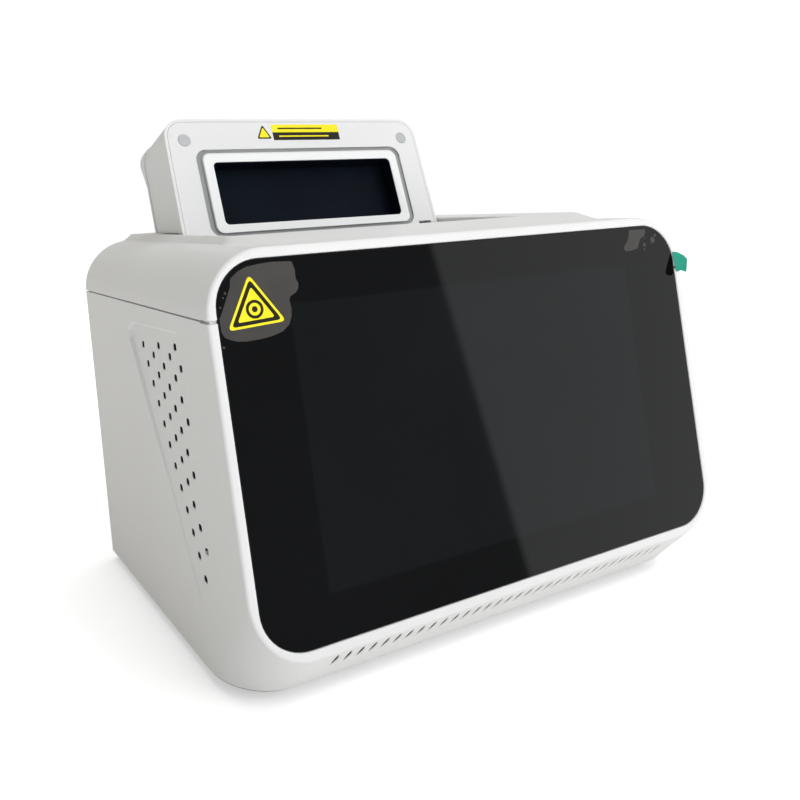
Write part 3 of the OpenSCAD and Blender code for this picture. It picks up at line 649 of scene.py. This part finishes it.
# ------------------------------------------------------------------ labels and film
def prism(name, pts, place, n0, n1, material, body, bevel=0.0):
    rings = [[place(u, v, n0) for (u, v) in pts], [place(u, v, n1) for (u, v) in pts]]
    ob = ring_loft(name, rings)
    done(ob, material, 30)
    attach(ob, body)
    return ob


def rounded(poly, r, n=5):
    out = []
    m = len(poly)
    for i in range(m):
        p0, p1, p2 = Vector(poly[i - 1]), Vector(poly[i]), Vector(poly[(i + 1) % m])
        a = (p0 - p1).normalized()
        b = (p2 - p1).normalized()
        ang = a.angle(b)
        t = min(r / math.tan(ang / 2), 0.45 * min((p0 - p1).length, (p2 - p1).length))
        q0, q1 = p1 + a * t, p1 + b * t
        for k in range(n + 1):
            s = k / n
            out.append(tuple(q0 * (1 - s) ** 2 + p1 * 2 * s * (1 - s) + q1 * s * s))
    return out


gl0 = -0.15            # outer face of the glass


def scaled(poly, f):
    cx = sum(p[0] for p in poly) / len(poly)
    cy = sum(p[1] for p in poly) / len(poly)
    return [(cx + (p[0] - cx) * f, cy + (p[1] - cy) * f) for p in poly]




def disc(u, v, r, n=20):
    return [(u + r * math.cos(2 * math.pi * k / n), v + r * math.sin(2 * math.pi * k / n)) for k in range(n)]


patch_l = [(-122.9, 87.6), (-117.0, 87.9), (-107.2, 87.4), (-106.2, 83.1), (-106.5, 79.5), (-105.3, 76.8), (-105.9, 74.3),
           (-107.5, 72.6), (-110.3, 71.3), (-111.2, 69.6), (-110.6, 65.9), (-111.2, 61.8), (-112.9, 58.4), (-116.4, 55.7),
           (-122.3, 54.1), (-128.4, 53.4), (-135.0, 53.2), (-139.2, 53.7), (-142.7, 54.9), (-145.1, 56.4), (-146.0, 58.8),
           (-146.2, 61.8), (-146.1, 64.8), (-145.2, 66.1), (-143.0, 70.4), (-140.7, 75.1), (-139.1, 78.4), (-138.6, 81.9),
           (-134.4, 85.0), (-129.9, 86.7)]
prism("film_patch_left", rounded(patch_l, 1.2, 3), on_panel, gl0 - 0.02, gl0 + 0.05, FILM, "case")
tri = scaled([(-129.6, 83.5), (-143.3, 58.5), (-113.8, 60.1)], 0.98)
prism("mark_left_edge", rounded(tri, 1.7), on_panel, gl0 + 0.04, gl0 + 0.12, YELLOW, "case")
prism("mark_left_band", rounded(scaled(tri, 0.86), 1.3), on_panel, gl0 + 0.08, gl0 + 0.15, INK, "case")
prism("mark_left_field", rounded(scaled(tri, 0.64), 0.9), on_panel, gl0 + 0.11, gl0 + 0.18, YELLOW, "case")
prism("mark_left_ring", disc(-128.9, 67.2, 4.3, 32), on_panel, gl0 + 0.14, gl0 + 0.21, INK, "case")
prism("mark_left_hub", disc(-128.9, 67.2, 2.9, 28), on_panel, gl0 + 0.17, gl0 + 0.24, YELLOW, "case")
prism("mark_left_dot", disc(-128.9, 67.2, 1.4), on_panel, gl0 + 0.20, gl0 + 0.27, INK, "case")
patch_r = [(112.8, 88.1), (126.9, 88.0), (125.4, 84.3), (121.3, 82.3), (118.3, 77.1), (113.1, 76.0), (107.8, 76.0), (106.9, 78.3),
           (110.5, 81.9), (112.5, 85.5)]
prism("film_patch_right", rounded(patch_r, 1.2, 3), on_panel, gl0 - 0.02, gl0 + 0.05, FILM, "case")
for k, (u, v, r) in enumerate(((131.6, 81.2, 1.9), (134.1, 83.8, 0.9), (124.2, 78.8, 1.1), (123.7, 76.2, 0.6), (125.0, 82.7, 0.5), (129.6, 79.2, 0.5),
                               (-141.9, 75.7, 0.6), (-143.1, 73.7, 0.5), (-145.0, 69.6, 0.5), (-146.0, 51.8, 0.6))):
    prism("film_bubble_%d" % k, disc(u, v, r, 14), on_panel, gl0 - 0.02, gl0 + 0.05, FILM, "case")
tab = [(146.8, 72.7), (150.8, 72.4), (156.1, 70.1), (159.2, 67.4), (156.7, 59.5), (152.5, 60.9), (147.9, 60.5)]
prism("pull_tab", rounded(tab, 0.8, 3), on_panel, 0.12, 0.32, TAB, "case")
tab_b = [(145.6, 72.2), (146.4, 69.0), (145.8, 59.9), (143.5, 58.5), (139.7, 59.2), (139.0, 61.1), (141.6, 65.7)]
prism("pull_tab_end", rounded(tab_b, 0.8, 3), on_panel, gl0 + 0.02, gl0 + 0.12, DARK, "case")

# on the lid: a two-tone strip and a small triangle, no lettering
LID = lambda u, v, n=0.0: on_lid(u, -4.9 - n, v + 0.8)
prism("lid_label_top", [(-42, 69.1), (6, 69.1), (6, 74.4), (-42, 74.4)], LID, -0.05, 0.12, YELLOW, "lid")
prism("lid_label_low", [(-42, 63.8), (6, 63.8), (6, 69.1), (-42, 69.1)], LID, -0.05, 0.12, INK, "lid")
prism("lid_label_bar1", rounded([(-38, 71.3), (-6, 71.3), (-6, 72.3), (-38, 72.3)], 0.3), LID, 0.05, 0.15, INK, "lid")
prism("lid_label_bar2", rounded([(-38, 66.0), (-2, 66.0), (-2, 66.9), (-38, 66.9)], 0.3), LID, 0.05, 0.15, YELLOW, "lid")
tri2 = [(-53.3, 64.9), (-43.2, 64.8), (-48.2, 74.4)]
prism("lid_mark_edge", rounded(tri2, 0.9), LID, -0.05, 0.12, INK, "lid")
prism("lid_mark_field", rounded(scaled(tri2, 0.72), 0.6), LID, 0.05, 0.15, YELLOW, "lid")

# ------------------------------------------------------------------ CAD nodes
N = frame["nodes"]
FAMILY = {
    "lid_shell": (WHITE, 0.9), "lid_rear_cover": (WHITE, 0.8), "lid_face_plate": (WHITE, 0.35), "window_frame": (BRIGHT, 0.5),
    "plate_liner": (ANOD, 0.15), "lid_pads": (PAD, 0.3), "touch_glass": (GLASS, 0.35), "glass_gasket": (RUBBER, 0), "rubber_feet": (RUBBER, 0.4),
    "block_gasket": (RUBBER, 0.3), "fan_frame": (BLACK_AND_SHADE, 0.5), "fan_rotor": (BLACK_AND_SHADE, 0.2), "switch_frame": (BLACK_AND_SHADE, 0.3),
    "power_rocker": (BLACK_AND_SHADE, 0.3), "air_duct": (BLACK_AND_SHADE, 0), "power_inlet": (BLACK_AND_SHADE, 0.3), "hot_plate": (ANOD, 0.3),
    "sample_block": (BLOCK, 0.2), "heat_sink": (BLOCK, 0), "rear_panel": (SHEET, 0.2), "display_bracket": (SHEET, 0),
    "heat_sink_bracket": (SHEET, 0), "power_supply": (SHEET, 0), "display_module": (SHEET, 0), "hot_plate_guides": (SHEET, 0),
    "base_plate": (BASE, 0), "fan_guard": (STEEL, 0), "hinge_pin": (STEEL, 0), "hinge_brackets": (STEEL, 0.2),
    "lid_hinge_arms": (STEEL, 0.2), "control_board": (PCB, 0), "driver_board": (PCB, 0), "lid_heater_board": (PCB, 0),
    "peltier_modules": (CERAM, 0),
}
for name, ob in N.items():
    m, bev = FAMILY.get(name, (STEEL, 0))
    if not ob.data.materials:
        ob.data.materials.append(m)
    for i in range(len(ob.data.materials)):
        ob.data.materials[i] = m
    if name in ("top_cover", "lower_case"):
        for i in range(len(ob.data.materials)):
            ob.data.materials[i] = WHITE
        continue
    if name == "lid_face_plate":
        # painted shade: the bottom of the groove ring around the window gets the grey groove material instead of white
        ob.data.materials.append(GROOVE)
        for p in ob.data.polygons:
            c = (ob.matrix_world @ p.center) * 1000.0
            ly = (c.y - HY) * CL - (c.z - HZ) * SL
            lz = (c.y - HY) * SL + (c.z - HZ) * CL
            if abs(c.x - BX - 0.2) < 73.1 and abs(lz - 31) < 28.1 and -4.2 < ly < -3.2:
                p.material_index = len(ob.data.materials) - 1
    if bev:
        add_bevel(ob, bev)

# ------------------------------------------------------------------ floor, light, camera
fl = bpy.data.meshes.new("floor")
fl.from_pydata([(-6, -6, -0.0002), (6, -6, -0.0002), (6, 6, -0.0002), (-6, 6, -0.0002)], [], [(0, 1, 2, 3)])
floor = bpy.data.objects.new("floor", fl)
bpy.context.scene.collection.objects.link(floor)
fm, fnt, fb, ftc = mat("floor_paper")
fn = noise(fnt, ftc, 3.0, 3.0)
fr = ramp(fnt, fn.outputs[0], (0.90, 0.90, 0.90), (0.92, 0.92, 0.92))
fnt.links.new(fr.outputs[0], fb.inputs["Base Color"])
fb.inputs["Roughness"].default_value = 0.9
fb.inputs["Specular IOR Level"].default_value = 0.1
fb.inputs["Emission Color"].default_value = (1, 1, 1, 1)
fvl = fnt.nodes.new("ShaderNodeVectorMath")
fvl.operation = "LENGTH"
fnt.links.new(ftc.outputs["Object"], fvl.inputs[0])
fmr = fnt.nodes.new("ShaderNodeMapRange")
fmr.interpolation_type = "SMOOTHSTEP"
fmr.inputs["From Min"].default_value = 0.16
fmr.inputs["From Max"].default_value = 0.62
fmr.inputs["To Min"].default_value = 0.22
fmr.inputs["To Max"].default_value = 0.62
fnt.links.new(fvl.outputs["Value"], fmr.inputs["Value"])
flp = fnt.nodes.new("ShaderNodeLightPath")
fad = fnt.nodes.new("ShaderNodeMath")
fad.operation = "MULTIPLY_ADD"
fad.inputs[1].default_value = 0.22
fnt.links.new(flp.outputs["Is Camera Ray"], fad.inputs[0])
fnt.links.new(fmr.outputs[0], fad.inputs[2])
fnt.links.new(fad.outputs[0], fb.inputs["Emission Strength"])
fl.materials.append(fm)
floor.visible_glossy = False
floor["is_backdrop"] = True

sc = bpy.context.scene
sc.view_settings.view_transform = "Standard"
world = bpy.data.worlds.new("studio")
sc.world = world
world.use_nodes = True
wt = world.node_tree
for n in list(wt.nodes):
    wt.nodes.remove(n)
wo = wt.nodes.new("ShaderNodeOutputWorld")
bg = wt.nodes.new("ShaderNodeBackground")
wt.links.new(bg.outputs[0], wo.inputs[0])
wtc = wt.nodes.new("ShaderNodeTexCoord")
lp = wt.nodes.new("ShaderNodeLightPath")


def wmath(op, a, b=0.0, clamp=False):
    n = wt.nodes.new("ShaderNodeMath")
    n.operation = op
    n.use_clamp = clamp
    for i, q in enumerate((a, b)):
        if isinstance(q, (int, float)):
            n.inputs[i].default_value = q
        else:
            wt.links.new(q, n.inputs[i])
    return n.outputs[0]


# the plane through the eye's mirror image that splits the dark and the bright part of the studio
CAM = V(-280.862, -460.229, 238.345)
PN = V(0, -CT, ST)
eye = CAM - PN * (2 * (CAM - on_panel(0, 0)).dot(PN))
a_, b_ = on_panel(-28, 87.8), on_panel(5.1, -89.1)
split = (a_ - eye).cross(b_ - eye).normalized()
if split.dot(on_panel(100, 0) - eye) < 0:
    split = -split
dotn = wt.nodes.new("ShaderNodeVectorMath")
dotn.operation = "DOT_PRODUCT"
wt.links.new(wtc.outputs["Generated"], dotn.inputs[0])
dotn.inputs[1].default_value = split
edge = wt.nodes.new("ShaderNodeMapRange")
edge.inputs["From Min"].default_value = -0.004
edge.inputs["From Max"].default_value = 0.004
edge.inputs["To Min"].default_value = 0.13
edge.inputs["To Max"].default_value = 0.68
wt.links.new(dotn.outputs["Value"], edge.inputs["Value"])
AMB_LOW, AMB_HIGH = 0.10, 0.62
is_g = lp.outputs["Is Glossy Ray"]
is_c = lp.outputs["Is Camera Ray"]
glossy = wmath("MULTIPLY", edge.outputs[0], is_g)
# softly brighter towards the front right and above
dotl = wt.nodes.new("ShaderNodeVectorMath")
dotl.operation = "DOT_PRODUCT"
wt.links.new(wtc.outputs["Generated"], dotl.inputs[0])
dotl.inputs[1].default_value = Vector((0.55, -0.75, 0.42)).normalized()
soft = wmath("POWER", wmath("ADD", 0.5, wmath("MULTIPLY", 0.5, dotl.outputs["Value"]), True), 1.6)
amb = wmath("ADD", AMB_LOW, wmath("MULTIPLY", AMB_HIGH, soft))
diff = wmath("MULTIPLY", amb, wmath("SUBTRACT", 1.0, wmath("MAXIMUM", is_g, is_c)))
cam_ = wmath("MULTIPLY", 1.03, is_c)
wt.links.new(wmath("ADD", wmath("ADD", glossy, diff), cam_), bg.inputs["Strength"])
tint = wt.nodes.new("ShaderNodeValToRGB")
tint.color_ramp.elements[0].position = 0.05
tint.color_ramp.elements[1].position = 0.55
tint.color_ramp.elements[0].color = (1.0, 0.945, 0.84, 1)
tint.color_ramp.elements[1].color = (0.985, 0.995, 1.0, 1)
wt.links.new(wmath("MAXIMUM", soft, is_c), tint.inputs[0])
wt.links.new(tint.outputs[0], bg.inputs["Color"])


def area(name, loc, target, size, power, color=(1, 1, 1), glossy_vis=False):
    li = bpy.data.lights.new(name, "AREA")
    li.shape = "SQUARE"
    li.size = size
    li.energy = power
    li.color = color
    ob = bpy.data.objects.new(name, li)
    sc.collection.objects.link(ob)
    ob.location = loc
    ob.rotation_euler = (Vector(target) - Vector(loc)).to_track_quat("-Z", "Y").to_euler()
    ob.visible_glossy = glossy_vis
    return ob


area("key", (0.9, -1.9, 0.9), (0, 0, 0.12), 1.4, 23)
area("top", (0.1, 0.2, 1.9), (0, 0, 0.1), 1.6, 15)

cam = bpy.data.cameras.new("cam")
cam.lens = 38.863
cam.sensor_width = 36
cam.shift_x = 0.0517
cam.shift_y = -0.0703
cam.clip_start = 0.01
cam.clip_end = 50
co = bpy.data.objects.new("cam", cam)
sc.collection.objects.link(co)
X = V(0.86340057, -0.50187133, -0.05161992)
Y = V(0.12602878, 0.11547402, 0.98528295)
Z = V(-0.48852451, -0.85719946, 0.16295057)
mw = Matrix.Identity(4)
for r in range(3):
    mw[r][0], mw[r][1], mw[r][2] = X[r], Y[r], Z[r]
mw[0][3], mw[1][3], mw[2][3] = -0.280862, -0.460229, 0.238345
co.matrix_world = mw
sc.camera = co

BOUNDS_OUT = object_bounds()


def plain(b):
    if isinstance(b, dict):
        return {k: plain(v) for k, v in b.items()}
    if isinstance(b, (int, float, str)):
        return b
    return [plain(x) for x in b]


{"start": plain(BOUNDS_IN), "end": plain(BOUNDS_OUT)}
